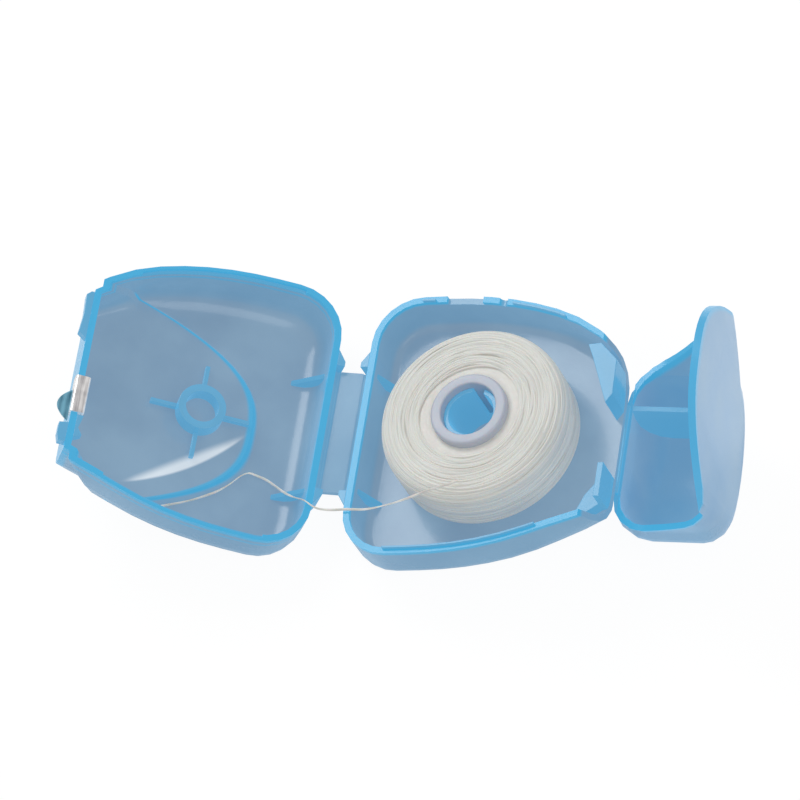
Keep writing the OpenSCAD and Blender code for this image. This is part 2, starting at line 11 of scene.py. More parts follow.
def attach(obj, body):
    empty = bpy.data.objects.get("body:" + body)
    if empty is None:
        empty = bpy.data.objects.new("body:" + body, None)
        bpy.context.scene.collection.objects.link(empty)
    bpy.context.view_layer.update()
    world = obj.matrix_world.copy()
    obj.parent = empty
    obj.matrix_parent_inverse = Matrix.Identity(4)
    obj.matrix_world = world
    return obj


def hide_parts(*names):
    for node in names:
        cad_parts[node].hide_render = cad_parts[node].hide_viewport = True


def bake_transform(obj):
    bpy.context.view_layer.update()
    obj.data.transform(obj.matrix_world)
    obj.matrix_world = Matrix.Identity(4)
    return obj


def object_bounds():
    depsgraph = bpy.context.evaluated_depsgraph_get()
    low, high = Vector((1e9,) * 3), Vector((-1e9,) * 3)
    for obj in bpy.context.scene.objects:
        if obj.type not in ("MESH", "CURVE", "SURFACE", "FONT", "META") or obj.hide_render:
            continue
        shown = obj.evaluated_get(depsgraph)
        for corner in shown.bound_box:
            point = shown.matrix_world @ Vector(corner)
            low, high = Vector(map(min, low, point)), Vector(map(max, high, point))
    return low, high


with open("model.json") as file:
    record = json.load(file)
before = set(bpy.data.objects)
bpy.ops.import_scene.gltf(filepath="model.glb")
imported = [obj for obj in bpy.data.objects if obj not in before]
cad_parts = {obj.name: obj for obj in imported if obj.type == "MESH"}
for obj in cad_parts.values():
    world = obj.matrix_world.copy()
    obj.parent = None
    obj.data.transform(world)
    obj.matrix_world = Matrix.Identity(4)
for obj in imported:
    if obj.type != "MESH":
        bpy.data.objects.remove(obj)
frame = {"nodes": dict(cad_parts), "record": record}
cad_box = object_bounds()

MM = 0.001
record = frame["record"]
behaviour = record["behaviour"]
NODE_BODY = {node: body for body, nodes in behaviour["bodies"].items() for node in nodes}

# Sizes of the case in mm, in the closed case's frame: back face at z = 0, spool axis at x = y = 0
BACK_H, FRONT_H, WALL = 9.3, 11.3, 1.2
CASE_T = BACK_H + FRONT_H
SPINE_X, SPINE_W = -23.8, 5.3
CAP_X, CAP_Z = 25.0, WALL / 2
FLAP_T, CAP_GAP = 1.3, 0.3
PAN_Z = CASE_T - FLAP_T - CAP_GAP - WALL
FLAP_LEN, FLAP_HALF_W, FLAP_POWER, FLAP_Y = 35.7, 23.8, 2.7, -1.4
CAP_SIDE, CAP_SIDE_POWER = 12.5, 1.8
NECK_X, CLIP_Y, CLIP_LEN, STEEL_T = 22.8, -6.5, 7.2, 0.35
RIM_FRONT = BACK_H + 0.08
BORE_R, TUBE_R, COLLAR_R = 5.13, 6.4, 7.1
SPOOL_Z0, SPOOL_Z1, COLLAR_H = 1.5, 14.1, 1.7
PACK_R, PACK_Z0, PACK_Z1, PACK_ROUND = 16.6, 2.35, 12.35, 2.0
SHARP_DEG, STEEL_SHARP_DEG, THREAD_SHARP_DEG = 34, 30, 60


def rest_angle(joint):
    """How far a joint is open in the photographed pose: the way back to its lower limit."""
    return -next(j for j in behaviour["joints"] if j["name"] == joint)["range_deg"][0]


leaning_axis = record["mounts"][0]["axis"]
LEAN = math.atan2(leaning_axis[0], -leaning_axis[2])
SPINE_OPEN, FRONT_OPEN = rest_angle("spine_hinge"), rest_angle("front_hinge")
CAP_OPEN = rest_angle("cap_hinge")


def turn_about(x, z, degrees):
    """Turn about the line across the case through x, z."""
    centre = Matrix.Translation((x, 0, z))
    return centre @ Matrix.Rotation(math.radians(degrees), 4, "Y") @ centre.inverted()


# Closed frame to row frame for each body, in mm
BACK = Matrix.Rotation(-LEAN, 4, "Y")
SPINE = BACK @ turn_about(SPINE_X, BACK_H - SPINE_W / 2, SPINE_OPEN - 90)
FRONT = SPINE @ turn_about(SPINE_X, BACK_H + SPINE_W / 2, FRONT_OPEN - 90)
CAP = BACK @ turn_about(CAP_X, CAP_Z, CAP_OPEN)
POSE = {"back_body": BACK, "spool_body": BACK, "spine_body": SPINE, "front_body": FRONT,
        "cap_body": CAP}


def make_camera():
    """The camera circles the target at an azimuth and elevation of the back shell's frame."""
    azimuth, elevation, roll = map(math.radians, (38.99, 54.45, -35.22))
    distance, target = 915.5, Vector((-19.56, 9.97, 0.0))
    away = Vector((math.sin(azimuth) * math.cos(elevation),
                   -math.cos(azimuth) * math.cos(elevation), math.sin(elevation)))
    level = Vector((0, 0, 1)).cross(away).normalized()
    top = away.cross(level)
    right = level * math.cos(roll) + top * math.sin(roll)
    up = top * math.cos(roll) - level * math.sin(roll)
    turn = Matrix((right, up, away)).transposed().to_4x4()
    camera = bpy.data.objects.new("camera", bpy.data.cameras.new("camera"))
    camera.data.sensor_width = 36.0
    pixels_per_mm, frame_px = 5.50, 800.0
    camera.data.lens = pixels_per_mm * distance * camera.data.sensor_width / frame_px
    place = (target + away * distance) * MM
    camera.matrix_world = BACK @ Matrix.Translation(place) @ turn
    bpy.context.collection.objects.link(camera)
    bpy.context.scene.camera = camera
    return camera


def linear(red, green, blue):
    """A screen colour of 0 to 255 as linear light."""
    return tuple(c / 12.92 if c <= 0.04045 else ((c + 0.055) / 1.055) ** 2.4
                 for c in (red / 255, green / 255, blue / 255)) + (1.0,)


class Wire:
    """A shader value: the operators add the Math nodes of the expression."""

    def __init__(self, shader, socket):
        self.shader, self.socket = shader, socket

    def math(self, operation, *values):
        node = self.shader.node("Math", {"operation": operation},
                                dict(enumerate((self,) + values)))
        return Wire(self.shader, node.outputs[0])

    def __add__(self, other):
        return self.math("ADD", other)

    def __mul__(self, other):
        return self.math("MULTIPLY", other)

    def __sub__(self, other):
        return self.math("SUBTRACT", other)

    def __truediv__(self, other):
        return self.math("DIVIDE", other)

    def __pow__(self, other):
        return self.math("POWER", other)

    def __rsub__(self, other):
        return (self * -1.0).math("ADD", other)

    __radd__, __rmul__ = __add__, __mul__

    def size(self):
        return self.math("ABSOLUTE")

    def most(self, other):
        return self.math("MAXIMUM", other)

    def least(self, other):
        return self.math("MINIMUM", other)

    def step(self, low, high):
        """0 below low, 1 above high, smooth between."""
        node = self.shader.node("MapRange", {"interpolation_type": "SMOOTHSTEP"},
                                {"Value": self, "From Min": low, "From Max": high})
        return Wire(self.shader, node.outputs["Result"])


class Shader:
    """One material's nodes, round a Principled shader."""

    def __init__(self, name, **constants):
        self.material = bpy.data.materials.new(name)
        self.material.use_nodes = True
        self.tree = self.material.node_tree
        self.bsdf = self.tree.nodes["Principled BSDF"]
        self.position = self.node("TexCoord").outputs["Object"]
        for name, value in constants.items():
            socket = name.replace("_", " ").title().replace("Ior", "IOR")
            self.bsdf.inputs[socket].default_value = value

    def node(self, kind, settings=(), values=()):
        """A node of a kind, with its settings first and then its sockets' values or links."""
        made = self.tree.nodes.new("ShaderNode" + kind)
        for setting, value in dict(settings).items():
            setattr(made, setting, value)
        for key, value in dict(values).items():
            if isinstance(value, Wire):
                value = value.socket
            if isinstance(value, bpy.types.NodeSocket):
                self.tree.links.new(value, made.inputs[key])
            else:
                made.inputs[key].default_value = value
        return made

    def along(self, vector, axis, offset=0.0):
        """How far a vector socket reaches along an axis."""
        node = self.node("VectorMath", {"operation": "DOT_PRODUCT"}, {0: vector, 1: axis})
        return Wire(self, node.outputs["Value"]) + offset

    def closed(self, body):
        """Closed-frame coordinates in mm, and the surface's direction along the closed z axis."""
        back = POSE[body].inverted()
        place = [self.along(self.position, tuple(v / MM for v in back[i][:3]), back[i][3])
                 for i in range(3)]
        normal = self.node("NewGeometry").outputs["Normal"]
        return place, self.along(normal, tuple(back[2][:3]))

    def noise(self, scale, detail=2.0, stretch=None):
        """Cloudy noise of 0 to 1, at a scale in cells a metre, that may be stretched."""
        place = self.position
        if stretch is not None:
            place = self.node("Mapping", {}, {"Vector": place, "Scale": stretch}).outputs[0]
        node = self.node("TexNoise", {}, {"Vector": place, "Scale": scale, "Detail": detail})
        return Wire(self, node.outputs["Fac"])

    def attribute(self, name):
        node = self.node("Attribute", {"attribute_name": name})
        return Wire(self, node.outputs["Fac"])

    def mix(self, factor, first, second):
        """Colour between two colours."""
        node = self.node("Mix", {"data_type": "RGBA"}, {0: factor, 6: first, 7: second})
        return node.outputs[2]

    def finish(self, colour, roughness, height=None, distance=0.0, strength=0.5):
        """Links colour, roughness and a bump of a height of 0 to 1 over a distance in metres."""
        self.tree.links.new(colour, self.bsdf.inputs["Base Color"])
        self.tree.links.new(roughness.socket, self.bsdf.inputs["Roughness"])
        if height is not None:
            bump = self.node("Bump", {}, {"Height": height, "Distance": distance,
                                          "Strength": strength})
            self.tree.links.new(bump.outputs["Normal"], self.bsdf.inputs["Normal"])
        return self.material


# The cyan is a painted glow, the deeper blue is painted shade on walls, and the white is a painted
# highlight
BODY_BLUE, PAINTED_GLOW_CYAN = linear(124, 154, 180), linear(70, 172, 216)
PAINTED_WALL_SHADE_BLUE, PALE_BLUE = linear(98, 148, 184), linear(146, 176, 198)
CAP_BLUE, PAINTED_HIGHLIGHT_WHITE = linear(112, 156, 192), linear(236, 243, 248)


def blue_plastic(name, body, edge, pale=0.0, tint=BODY_BLUE, sheen=None):
    """Moulded translucent plastic, grey blue where thin, with painted light: a cyan glow painted
    where the light runs in its edges, walls painted a deeper shade, and the colour also emitted,
    so the plastic glows though it is no lamp.

    edge(place, up) gives the mask of painted cyan glow from the closed-frame place and the
    normal's z part.
    """
    shader = Shader(name, ior=1.49, transmission_weight=0.25, coat_weight=0.2,
                    coat_roughness=0.08, specular_ior_level=0.4, emission_strength=0.64)
    place, up = shader.closed(body)
    cloud = shader.noise(70.0, 3.0)
    fine = shader.noise(900.0, 2.0)
    # Painted shade: walls, the faces that turn away from the closed z axis, are painted a deeper
    # blue and get a little painted cyan glow
    wall = 1.0 - up.size().step(0.25, 0.85)
    body_colour = shader.mix(cloud.step(0.3, 0.75) * 0.5 + pale, tint, PALE_BLUE)
    with_painted_wall_shade = shader.mix(wall * 0.25, body_colour, PAINTED_WALL_SHADE_BLUE)
    # Painted glow: cyan painted on rims, edges and walls, where light runs in the plastic
    painted_glow_mask = (edge(place, up) + wall * 0.12).least(1.0)
    colour = shader.mix(painted_glow_mask, with_painted_wall_shade, PAINTED_GLOW_CYAN)
    # Painted highlight: a pale crescent of sheen mixed into the colour
    if sheen:
        colour = shader.mix(sheen(place, up) * (cloud * 0.5 + 0.5), colour, PAINTED_HIGHLIGHT_WHITE)
    # Painted glow: the colour is also emitted, so the plastic glows though it is no lamp; its base
    # colour is darkened to 40% to make room for it
    shader.tree.links.new(colour, shader.bsdf.inputs["Emission Color"])
    colour = shader.mix(0.6, colour, (0.0, 0.0, 0.0, 1.0))
    return shader.finish(colour, cloud * 0.1 + fine * 0.05 + 0.16, fine * 0.6 + cloud,
                         0.00008, 0.4)


def band(value, centre, half_width):
    """1 at the centre of a band and 0 outside it."""
    return 1.0 - (value - centre).size().step(0.35 * half_width, half_width)


def back_painted_glow(place, up):
    """Painted glow: cyan painted on the back shell's rim."""
    return place[2].step(BACK_H - 1.3, BACK_H - 0.35)


def flap_share(place, grow=0.0):
    """1 on the flap's outline, less inside it."""
    across = ((place[1] - FLAP_Y).size() / (FLAP_HALF_W + grow)) ** FLAP_POWER
    return across + (place[0] * -1.0 + CAP_X) / (FLAP_LEN + grow)


def front_painted_glow(place, up):
    """Painted glow: cyan painted on the front shell's rim, its pan's upper edge, the neck's end
    and the rebate's line.
    """
    rim = 1.0 - place[2].step(BACK_H + 0.45, BACK_H + 1.5)
    pan = band(flap_share(place, 0.1), 1.0, 0.035) * place[2].step(PAN_Z - 1.6, PAN_Z - 0.4)
    neck = place[0].step(NECK_X - 1.6, NECK_X - 0.8) * 0.6
    rebate = band(place[2], BACK_H + 2.1, 0.45) * 0.5
    return (rim + pan * 0.9 + neck + rebate).least(1.0)


def painted_pan_highlight(place, up):
    """Painted highlight: the pan is dished by its stretched edge, and a pale crescent of sheen is
    painted on its near side: a bowed band, 28 mm long, that narrows to both ends."""
    x, y = place[0] - 0.43, place[1] + 9.56
    run = (x * -0.81 + y * 0.587) / 14.0
    full = (1.0 - run * run).most(0.0)
    out = x * -0.587 - y * 0.81
    inner = (out - full * -0.3).step(-0.3, 1.5)
    outer = 1.0 - (out - full * 2.4).step(-0.5, 0.1)
    return inner * outer * full.step(0.0, 0.5) * band(place[2], PAN_Z, 0.8)


def cap_painted_glow(place, up):
    """Painted glow: cyan painted on the edges of the cap's side walls, its hinge side and the
    flap.
    """
    start = (place[2] / CASE_T).most(0.0) ** CAP_SIDE_POWER * -CAP_SIDE + CAP_X
    below_flap = 1.0 - place[2].step(CASE_T - 1.6, CASE_T - 1.2)
    lip = (1.0 - (place[0] - start).step(0.5, 1.5)) * below_flap
    flap = flap_share(place).step(0.93, 0.985) * place[2].step(CASE_T - 1.8, CASE_T - 1.5)
    return (lip + flap * 0.75).least(1.0)


def detail_painted_glow(place, up):
    """Painted glow: small thick details are painted cyan all over, a little more on their upper
    edges.
    """
    return up.size() * 0.08 + 0.52


def web_painted_glow(place, up):
    """The hinge films and the spine are thin and pale, with a painted cyan glow line at each
    hinge's fold.
    """
    fold = band(place[2], BACK_H - SPINE_W / 2, 0.7) + band(place[2], BACK_H + SPINE_W / 2, 0.7)
    return fold * 0.3


def copy_of(node, material, bevel=0.12):
    """A node's solid as a finished piece: doubles merged, flat faces joined, edges rounded."""
    source = frame["nodes"][node]
    mesh = source.data.copy()
    mesh.name = node
    work = bmesh.new()
    work.from_mesh(mesh)
    bmesh.ops.remove_doubles(work, verts=work.verts, dist=2e-6)
    bmesh.ops.dissolve_limit(work, angle_limit=math.radians(0.6), verts=work.verts,
                             edges=work.edges)
    work.to_mesh(mesh)
    work.free()
    mesh.shade_smooth()
    mesh.set_sharp_from_angle(angle=math.radians(SHARP_DEG))
    piece = bpy.data.objects.new(node + "_moulding", mesh)
    bpy.context.collection.objects.link(piece)
    mesh.materials.clear()
    mesh.materials.append(material)
    if bevel:
        rounding = piece.modifiers.new("edges", "BEVEL")
        rounding.width, rounding.segments = bevel * MM, 2
        rounding.limit_method, rounding.angle_limit = "ANGLE", math.radians(SHARP_DEG)
        rounding.harden_normals = True
    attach(piece, NODE_BODY[node])
    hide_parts(node)
    return piece


def mesh_piece(name, points, faces, body, slot, material, replaces=(), smooth=SHARP_DEG,
               ride=True, **attributes):
    """A new piece from closed-frame points in mm and faces, posed as its body is at rest.

    Each point is turned and moved by the body's pose. The piece rides the body, or is left free
    to be blended."""
    pose = np.array(POSE[body])
    placed = (points @ pose[:3, :3].T + pose[:3, 3]) * MM
    mesh = bpy.data.meshes.new(name)
    mesh.from_pydata(placed.tolist(), [], [list(f) for f in faces])
    for key, values in attributes.items():
        mesh.attributes.new(key, "FLOAT", "POINT").data.foreach_set("value", values)
    work = bmesh.new()
    work.from_mesh(mesh)
    bmesh.ops.recalc_face_normals(work, faces=work.faces)
    work.to_mesh(mesh)
    work.free()
    mesh.shade_smooth()
    mesh.set_sharp_from_angle(angle=math.radians(smooth))
    mesh.materials.append(material)
    piece = bpy.data.objects.new(name, mesh)
    bpy.context.collection.objects.link(piece)
    if ride:
        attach(piece, body)
    if replaces:
        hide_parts(*replaces)
    return piece


def grid_faces(rows, columns, close_rows=False, close_columns=False):
    """Quads of a grid of rows by columns, which may wrap round either way."""
    i, j = np.meshgrid(np.arange(rows if close_rows else rows - 1),
                       np.arange(columns if close_columns else columns - 1), indexing="ij")
    k, l = (i + 1) % rows, (j + 1) % columns
    return np.stack([i * columns + j, i * columns + l, k * columns + l, k * columns + j],
                    -1).reshape(-1, 4).tolist()


def lathe(profile, steps):
    """Ring solid: a closed half section of radius and height, turned about the spool's axis.

    A point at radius r and height h goes to r cos(a), r sin(a), h for each angle a."""
    angle = np.linspace(0, 2 * np.pi, steps, endpoint=False)[:, None]
    radius, height = np.array(profile).T
    points = np.stack([radius * np.cos(angle), radius * np.sin(angle),
                       height + 0 * angle], -1)
    return points.reshape(-1, 3), grid_faces(steps, len(profile), True, True)


def arc(x, z, radius, first, last, steps):
    """Points on a circle's arc between two angles in degrees."""
    angle = np.radians(np.linspace(first, last, steps))
    return list(zip(x + radius * np.cos(angle), z + radius * np.sin(angle)))


def tube(path, outward, width, depth, sides, twist=0.0):
    """Oval tube along a path, with closed ends.

    Each ring is the path's point, plus half the width times the cosine of the ring's angle along
    the sideways direction, plus half the depth times its sine along the outward one. Both
    directions are at right angles to the path, and are turned about it by twist."""
    along = np.gradient(path, axis=0)
    along /= np.linalg.norm(along, axis=1, keepdims=True)
    across = np.cross(along, outward)
    across /= np.linalg.norm(across, axis=1, keepdims=True)
    out = np.cross(across, along)
    turn = np.zeros(len(path)) + twist
    angle = 2 * np.pi * np.arange(sides) / sides
    first = np.cos(turn)[:, None] * across + np.sin(turn)[:, None] * out
    second = np.cos(turn)[:, None] * out - np.sin(turn)[:, None] * across
    points = (path[:, None] + width / 2 * np.cos(angle)[None, :, None] * first[:, None]
              + depth / 2 * np.sin(angle)[None, :, None] * second[:, None])
    last = (len(path) - 1) * sides
    faces = grid_faces(len(path), sides, close_columns=True)
    return points.reshape(-1, 3), faces + [list(range(sides)),
                                           list(range(last + sides - 1, last - 1, -1))]


# Route of the free strand, in mm of the back shell's own frame, as in the part's source
STRAND_ROUTE = [
    (-1.5, -15, 13.8), (-5, -16, 13.8), (-9, -17, 12.9), (-13.5, -17.6, 11.6),
    (-18, -17.7, 10.3), (-22, -17.4, 9.9), (-25, -17.5, 10), (-27.2, -17.6, 11),
    (-29.2, -16.6, 12), (-30.8, -15.6, 10.9), (-32.8, -14.3, 9.1), (-35.6, -12.4, 7.2),
    (-38, -10.6, 6.3), (-40, -9.4, 6.8), (-41.6, -9, 7.8), (-42.8, -8.9, 8.6),
    (-43.9, -9.9, 9.4), (-45.4, -12.1, 10.4), (-47.1, -14.1, 11.6), (-49.1, -15.8, 12.9),
    (-51.4, -17.5, 14.5), (-54.2, -19.2, 16.5), (-56.4, -20.4, 18.1)]
STRAND_W, STRAND_D, SPAN_STEPS = 0.46, 0.26, 8
STRAND_SPLIT = 8


def smooth_route(points, steps):
    """Catmull-Rom curve through the points, with a number of steps in each span.

    Each span is the cubic whose slope at a point is half the way between that point's
    neighbours."""
    route = np.array([points[0]] + list(points) + [points[-1]], float)
    share = np.arange(steps)[:, None] / steps
    spans = []
    for p0, p1, p2, p3 in zip(route, route[1:], route[2:], route[3:]):
        spans.append(0.5 * (2 * p1 + share * (p2 - p0)
                            + share ** 2 * (2 * p0 - 5 * p1 + 4 * p2 - p3)
                            + share ** 3 * (3 * p1 - p0 - 3 * p2 + p3)))
    return np.vstack(spans + [route[-1:]])


def make_strand(name, path, first_turn, material):
    """One stretch of the flat strand, left free of the bodies to be blended across a hinge;
    returns the run at its end.

    Its twist is a sum of two sine waves of the distance run, so it turns to and fro slowly."""
    length = np.linalg.norm(np.diff(path, axis=0), axis=1)
    run = first_turn + np.concatenate([[0], np.cumsum(length)])
    twist = 0.9 * np.sin(run * 0.33) + 0.5 * np.sin(run * 0.11 + 1.0)
    points, faces = tube(path, np.array([0.0, 0.0, 1.0]), STRAND_W, STRAND_D, 8, twist)
    piece = mesh_piece(name, points, faces, "back_body", "floss", material,
                       smooth=THREAD_SHARP_DEG, ride=False,
                       thread=np.repeat(0.5 + 0.5 * np.sin(run * 1.7), 8))
    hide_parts("floss_strand")
    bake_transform(piece)
    return run[-1]


def floss_material():
    """Waxed white filament: fine lengthwise lines, a warm and a cool white, soft gloss, and a
    painted glow: its colour is also emitted.
    """
    shader = Shader("waxed floss", ior=1.45, sheen_weight=0.25, coat_weight=0.15,
                    coat_roughness=0.3, subsurface_weight=0.2, subsurface_scale=0.0012,
                    emission_strength=0.2)
    thread = shader.attribute("thread")
    cloud = shader.noise(160.0, 2.0)
    fibre = shader.noise(2600.0, 2.0, (1.0, 1.0, 3.0))
    colour = shader.mix(thread * 0.6 + cloud * 0.4, linear(194, 192, 186), linear(220, 219, 214))
    # Painted glow: the floss's colour is also emitted, so it glows though it is no lamp
    shader.tree.links.new(colour, shader.bsdf.inputs["Emission Color"])
    return shader.finish(colour, fibre * 0.25 + 0.3, fibre, 0.00006, 0.5)


def core_material():
    """Satin white moulding with a faint lavender cloud and fine scuffs."""
    shader = Shader("spool core", ior=1.49, coat_weight=0.1, coat_roughness=0.2,
                    subsurface_weight=0.15, subsurface_scale=0.002)
    cloud, scuff = shader.noise(120.0, 3.0), shader.noise(1500.0, 3.0)
    colour = shader.mix(cloud, linear(176, 186, 202), linear(202, 206, 216))
    return shader.finish(colour, scuff * 0.2 + 0.32, scuff, 0.00003, 0.4)


def steel_material(name, bright, dark):
    """Brushed steel, its lines along the clip, darker in streaks, with a painted glow: its colour
    is also emitted.
    """
    shader = Shader(name, metallic=1.0, emission_strength=0.55)
    brush = shader.noise(1800.0, 3.0, (1.0, 0.06, 1.0))
    cloud = shader.noise(300.0, 2.0)
    colour = shader.mix((brush * 0.6 + cloud * 0.4).step(0.3, 0.7), dark, bright)
    # Painted glow: the steel's colour is also emitted, so it glows though it is no lamp
    shader.tree.links.new(colour, shader.bsdf.inputs["Emission Color"])
    return shader.finish(colour, brush * 0.2 + 0.2, brush, 0.00002, 0.4)


def winding_place(run, off):
    """Radius, height and outward angle at a distance along the wound body's half section.

    The distance runs up the side, then round the shoulder's quarter circle, then inwards over the
    top, all at off outside the body."""
    side = PACK_Z1 - PACK_ROUND - PACK_Z0 - 0.7
    bend = (PACK_ROUND + off) * math.pi / 2
    turn = np.clip((run - side) / bend, 0, 1) * math.pi / 2
    past = np.maximum(run - side - bend, 0)
    radius = PACK_R - PACK_ROUND + (PACK_ROUND + off) * np.cos(turn) - past
    height = PACK_Z0 + 0.7 + np.clip(run, 0, side) + (PACK_ROUND + off) * np.sin(turn)
    return radius, height, turn


def make_floss(material):
    """The wound floss: a ribbed body, and over it one unbroken thread in crossing layers.

    The body is turned from its half section, and each ring of points is swollen by smoothed random
    ridges. The thread's angle grows steadily, while its distance along the half section goes to
    and fro in sweeps, plus a random drift and slow sine waves that set each loop off centre."""
    rng = np.random.default_rng(5)
    half = arc(PACK_R - PACK_ROUND + 0.3, PACK_Z0 + PACK_ROUND, PACK_ROUND, -90, 0, 8)
    half += [(PACK_R + 0.3, z) for z in np.linspace(PACK_Z0 + 2.3, PACK_Z1 - 2.2, 22)]
    half += arc(PACK_R - PACK_ROUND + 0.3, PACK_Z1 + 0.25 - PACK_ROUND, PACK_ROUND, 0, 90, 10)
    half += [(r, PACK_Z1 + 0.25) for r in np.linspace(PACK_R - PACK_ROUND, COLLAR_R + 0.6, 24)]
    half += [(TUBE_R + 0.05, PACK_Z1 - 0.1), (TUBE_R + 0.05, PACK_Z0)]
    points, faces = lathe(half, 180)
    ridge = rng.normal(0, 0.05, (180, len(half)))
    ridge = (ridge + np.roll(ridge, 1, 0) + np.roll(ridge, 2, 0) + np.roll(ridge, 3, 0)) / 2
    swell = 1 + (ridge / 14).reshape(-1, 1) * np.array([1, 1, 0])
    mesh_piece("floss_body", points * swell, faces, "spool_body", "floss", material,
               ("floss_pack",), THREAD_SHARP_DEG, thread=np.clip(0.35 + 3 * ridge, 0, 1).ravel())

    loops, rings, sweeps, sides = 126, 80, 7, 6
    turns = np.arange(loops * rings + 1) / rings
    reach = 16.4
    sweep = np.abs((turns * sweeps / loops) % 2 - 1)
    drift = np.interp(turns, np.arange(loops + 2), rng.normal(0, 0.16, loops + 2))
    lean = (0.38 * np.sin(2 * np.pi * turns * 1.013 + 1.3)
            + 0.22 * np.sin(4 * np.pi * turns + turns))
    run = np.clip((1 - sweep) * reach + drift + lean, 0, reach + 0.6)
    layer = 0.4 + 0.28 * (turns / loops) + 0.04 * np.sin(turns * 9.1)
    radius, height, turn = winding_place(run, layer)
    angle = 2 * np.pi * turns
    path = np.stack([radius * np.cos(angle), radius * np.sin(angle), height], -1)
    outward = np.stack([np.cos(turn) * np.cos(angle), np.cos(turn) * np.sin(angle),
                        np.sin(turn)], -1)
    points, faces = tube(path, outward, 0.42, 0.3, sides)
    shade = np.interp(turns, np.arange(loops + 2), rng.uniform(0, 1, loops + 2))
    mesh_piece("floss_thread", points, faces, "spool_body", "floss", material,
               ("floss_turns",), THREAD_SHARP_DEG, thread=np.repeat(shade, sides))


def make_core(material):
    """The spool's tube with its foot flange and the rounded top collar."""
    round_r = 0.5
    profile = [(BORE_R, SPOOL_Z0), (COLLAR_R, SPOOL_Z0), (COLLAR_R, SPOOL_Z0 + 0.8),
               (TUBE_R, SPOOL_Z0 + 0.8), (TUBE_R, SPOOL_Z1 - COLLAR_H),
               (COLLAR_R, SPOOL_Z1 - COLLAR_H)]
    profile += arc(COLLAR_R - round_r, SPOOL_Z1 - round_r, round_r, 0, 90, 7)
    profile += arc(BORE_R + 0.3, SPOOL_Z1 - 0.3, 0.3, 90, 180, 5)
    points, faces = lathe(profile, 128)
    mesh_piece("core_moulding", points, faces, "spool_body", "core", material, ("spool_core",))


def bent_strip(line, thickness, y0, y1, steps=2):
    """A strip of constant thickness that follows a line of x and z, from y0 to y1.

    Its section is the line moved half the thickness to each side along its normal, which is its
    direction turned by a right angle; the section is then carried along y."""
    line = np.array(line, float)
    along = np.gradient(line, axis=0)
    along /= np.linalg.norm(along, axis=1, keepdims=True)
    side = np.stack([-along[:, 1], along[:, 0]], -1) * thickness / 2
    ring = np.vstack([line + side, (line - side)[::-1]])
    count = len(ring)
    points = np.empty((steps, count, 3))
    points[:, :, [0, 2]] = ring
    points[:, :, 1] = np.linspace(y0, y1, steps)[:, None]
    points = points.reshape(-1, 3)
    faces = grid_faces(steps, count, close_columns=True)
    for start in (0, (steps - 1) * count):
        faces += [[start + i, start + i + 1, start + count - 2 - i, start + count - 1 - i]
                  for i in range(count // 2 - 1)]
    return points, faces


def make_cutter(bright, tooth_painted_reflection):
    """The steel clip folded over the neck's wall, and the leaf-shaped tooth bent out of it.

    The tooth is a grid: across it x grows by the reach, which is a power of a half sine wave along
    its length, and its height rises with the square of the way across."""
    inner, outer = NECK_X - 2.2, NECK_X + 0.03 + STEEL_T / 2
    crown = RIM_FRONT - 0.03 - STEEL_T / 2
    bend = 0.35
    line = [(inner + 0.75, RIM_FRONT + 3.3), (inner + 0.45, RIM_FRONT + 1.6),
            (inner, crown + bend)]
    line += arc(inner + bend, crown + bend, bend, 180, 270, 5)
    line += [(inner + 0.8, crown), (outer - 0.8, crown)]
    line += arc(outer - bend, crown + bend, bend, 270, 360, 5)
    line += [(outer, crown + bend), (outer, RIM_FRONT + 2.15)]
    points, faces = bent_strip(line, STEEL_T, CLIP_Y - CLIP_LEN / 2, CLIP_Y + CLIP_LEN / 2)
    clip = mesh_piece("clip_steel", points, faces, "front_body", "steel", bright,
                      ("cutter_clip",), STEEL_SHARP_DEG)
    edges = clip.modifiers.new("edges", "BEVEL")
    edges.width, edges.segments, edges.limit_method = 0.05 * MM, 2, "ANGLE"
    across, along = np.meshgrid(np.linspace(0, 1, 9), np.linspace(0, 1, 25), indexing="ij")
    reach = 2.35 * np.sin(np.pi * along) ** 0.85
    x = outer + STEEL_T / 2 - 0.05 + reach * across
    y = CLIP_Y - 2.2 + 6.1 * (along - 0.5)
    z = RIM_FRONT + 0.52 + 0.12 * across ** 2 + 0 * along
    top = np.stack([x, y, z], -1).reshape(-1, 3)
    count = len(top)
    faces = grid_faces(9, 25)
    under = [[i + count for i in f[::-1]] for f in faces]
    rim = list(range(25)) + [25 * i + 24 for i in range(1, 9)]
    rim += list(range(8 * 25 + 23, 8 * 25 - 1, -1)) + [25 * i for i in range(7, 0, -1)]
    sides = [[a, b, b + count, a + count] for a, b in zip(rim, rim[1:] + rim[:1])]
    points = np.vstack([top, top + (0, 0, 0.28)])
    # Painted reflection: the tooth's steel is painted teal blue, standing in for the blue plastic
    # reflected in it
    mesh_piece("tooth_steel", points, faces + under + sides, "front_body", "steel", tooth_painted_reflection,
               ("cutter_tooth",), STEEL_SHARP_DEG)


def area_light(name, place, target, size, power):
    """A square soft box at a place, facing a target, in mm of the back shell's own frame.

    Its gloss is low, so that it leaves soft marks on the plastic."""
    light = bpy.data.lights.new(name, "AREA")
    light.shape = "SQUARE"
    light.size = size * MM
    light.energy, light.specular_factor = power, 0.18
    lamp = bpy.data.objects.new(name, light)
    away = Vector(place) - Vector(target)
    lamp.matrix_world = (BACK @ Matrix.Translation(Vector(place) * MM)
                         @ away.to_track_quat("Z", "Y").to_matrix().to_4x4())
    bpy.context.collection.objects.link(lamp)


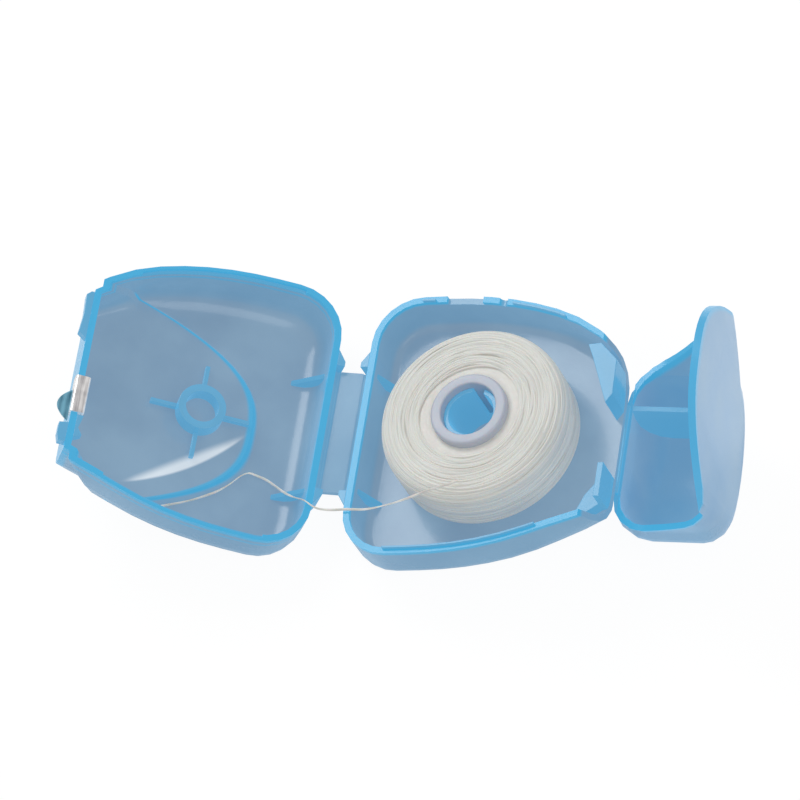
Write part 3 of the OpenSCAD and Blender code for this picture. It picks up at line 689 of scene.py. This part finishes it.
def make_studio():
    """White world and floor, which camera, gloss and clear plastic see as plain white."""
    world = bpy.data.worlds.new("studio")
    bpy.context.scene.world = world
    world.use_nodes = True
    nodes, links = world.node_tree.nodes, world.node_tree.links
    path = nodes.new("ShaderNodeLightPath")
    seen = nodes.new("ShaderNodeMath")
    seen.operation = "MAXIMUM"
    links.new(path.outputs["Is Camera Ray"], seen.inputs[0])
    links.new(path.outputs["Is Transmission Ray"], seen.inputs[1])
    level = nodes.new("ShaderNodeMapRange")
    level.inputs["To Min"].default_value, level.inputs["To Max"].default_value = 0.46, 1.0
    links.new(seen.outputs[0], level.inputs["Value"])
    links.new(level.outputs["Result"], nodes["Background"].inputs["Strength"])
    nodes["Background"].inputs["Color"].default_value = (1, 1, 1, 1)

    half, low = 0.9, cad_box[0][2] - 0.00002
    mesh = bpy.data.meshes.new("table")
    mesh.from_pydata([(-half, -half, low), (half, -half, low), (half, half, low),
                      (-half, half, low)], [], [(0, 1, 2, 3)])
    table = bpy.data.objects.new("table", mesh)
    bpy.context.collection.objects.link(table)
    material = bpy.data.materials.new("white table")
    material.use_nodes = True
    nodes, links = material.node_tree.nodes, material.node_tree.links
    bsdf = nodes["Principled BSDF"]
    bsdf.inputs["Base Color"].default_value = (0.9, 0.9, 0.9, 1)
    bsdf.inputs["Roughness"].default_value = 0.9
    glow = nodes.new("ShaderNodeEmission")
    glow.inputs["Strength"].default_value = 1.04
    path = nodes.new("ShaderNodeLightPath")
    most = nodes.new("ShaderNodeMath")
    most.operation = "MAXIMUM"
    links.new(path.outputs["Is Camera Ray"], most.inputs[0])
    links.new(path.outputs["Is Transmission Ray"], most.inputs[1])
    share = nodes.new("ShaderNodeMath")
    share.operation = "MULTIPLY"
    share.inputs[1].default_value = 0.9
    links.new(most.outputs[0], share.inputs[0])
    mixer = nodes.new("ShaderNodeMixShader")
    links.new(share.outputs[0], mixer.inputs["Fac"])
    links.new(bsdf.outputs[0], mixer.inputs[1])
    links.new(glow.outputs[0], mixer.inputs[2])
    links.new(mixer.outputs[0], nodes["Material Output"].inputs["Surface"])
    mesh.materials.append(material)
    area_light("window", (-160, 220, 330), (-20, 0, 0), 240, 0.7)
    area_light("fill", (260, -180, 260), (0, 0, 0), 260, 0.35)


make_camera()
floss = floss_material()
route = smooth_route(STRAND_ROUTE, SPAN_STEPS)
split = STRAND_SPLIT * SPAN_STEPS
before_pack = np.array([[0.4, -14.2, 13.75], [-0.6, -14.6, 13.8]])
first = np.vstack([before_pack, route[:split + 1]])
turned = make_strand("strand_to_spine", first, 0.0,
                     floss)
make_strand("strand_to_end", route[split:], turned,
            floss)

make_floss(floss)
make_core(core_material())
# The second steel's teal blue is a painted reflection of the blue plastic in the tooth
make_cutter(steel_material("brushed steel", linear(235, 232, 230), linear(150, 148, 150)),
            steel_material("blue steel", linear(110, 160, 180), linear(50, 90, 110)))
DETAILS = ["rim_tongue", "back_cheeks", "spool_post", "floss_guide", "latch_block", "front_cheeks",
           "hub_boss", "hub_ribs", "neck_tab", "cutter_seat", "cap_rib", "cap_nubs"]
# Painted glow: the small details' materials are painted cyan all over
glow = {body: blue_plastic("cyan detail " + body.split("_")[0], body, detail_painted_glow)
        for body in ("back_body", "front_body", "cap_body")}
for node in DETAILS:
    copy_of(node, glow[NODE_BODY[node]], 0.1)
copy_of("back_shell", blue_plastic("back moulding", "back_body", back_painted_glow))
copy_of("front_shell", blue_plastic("front moulding", "front_body", front_painted_glow,
                                    sheen=painted_pan_highlight))
copy_of("cap_shell", blue_plastic("cap moulding", "cap_body", cap_painted_glow, 0.0, CAP_BLUE))
web = blue_plastic("hinge web", "spine_body", web_painted_glow, 0.3)
for node in ("spine_plate", "back_hinge_film", "front_hinge_film"):
    copy_of(node, web, 0.0 if node.endswith("film") else 0.1)
copy_of("cap_hinge_film", blue_plastic("cap web", "cap_body", detail_painted_glow, 0.5), 0.0)

make_studio()
bpy.context.scene.view_settings.view_transform = "Standard"
